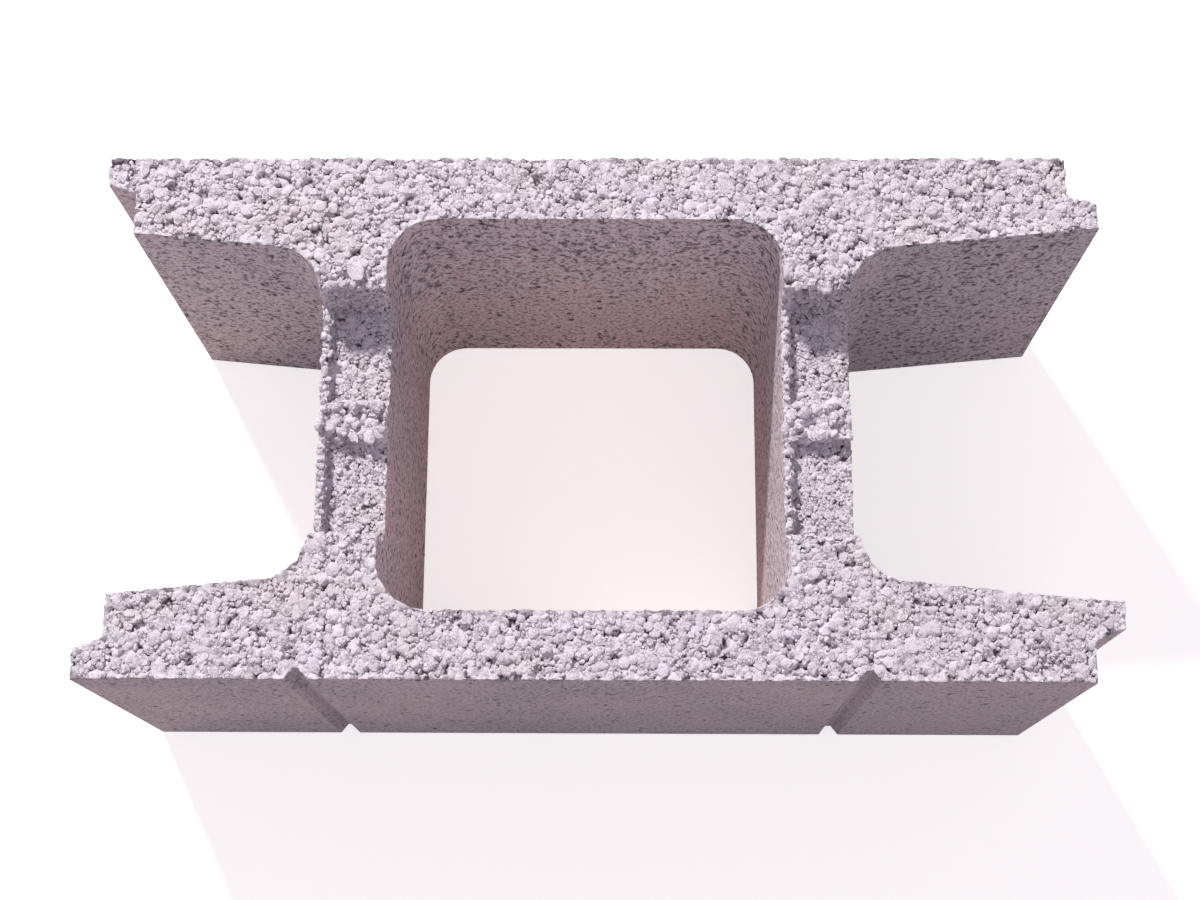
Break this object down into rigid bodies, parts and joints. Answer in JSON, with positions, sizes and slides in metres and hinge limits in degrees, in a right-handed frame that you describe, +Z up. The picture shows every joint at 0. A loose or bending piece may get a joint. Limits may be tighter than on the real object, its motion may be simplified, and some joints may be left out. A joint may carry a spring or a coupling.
{
  "type": "concrete shuttering block",
  "caption": "H-plan hollow concrete formwork block: long face shells tied by cross webs with saddled tops, lapped shell ends and scored grooves, for dry-laid filled walls.",
  "frame": {"origin": "middle of the block's bounding box, on the bed that it stands on", "axes": "+X along the wall towards the end with the inner tongues, -Y towards the scored front face, +Z up"},
  "size_m": [0.515, 0.275, 0.2],
  "materials": {
    "concrete": "dry-cast concrete: coarse open granular bed faces, smoother pored mould faces"
  },
  "bodies": {
    "root": {"block": "concrete"}
  },
  "joints": []
}
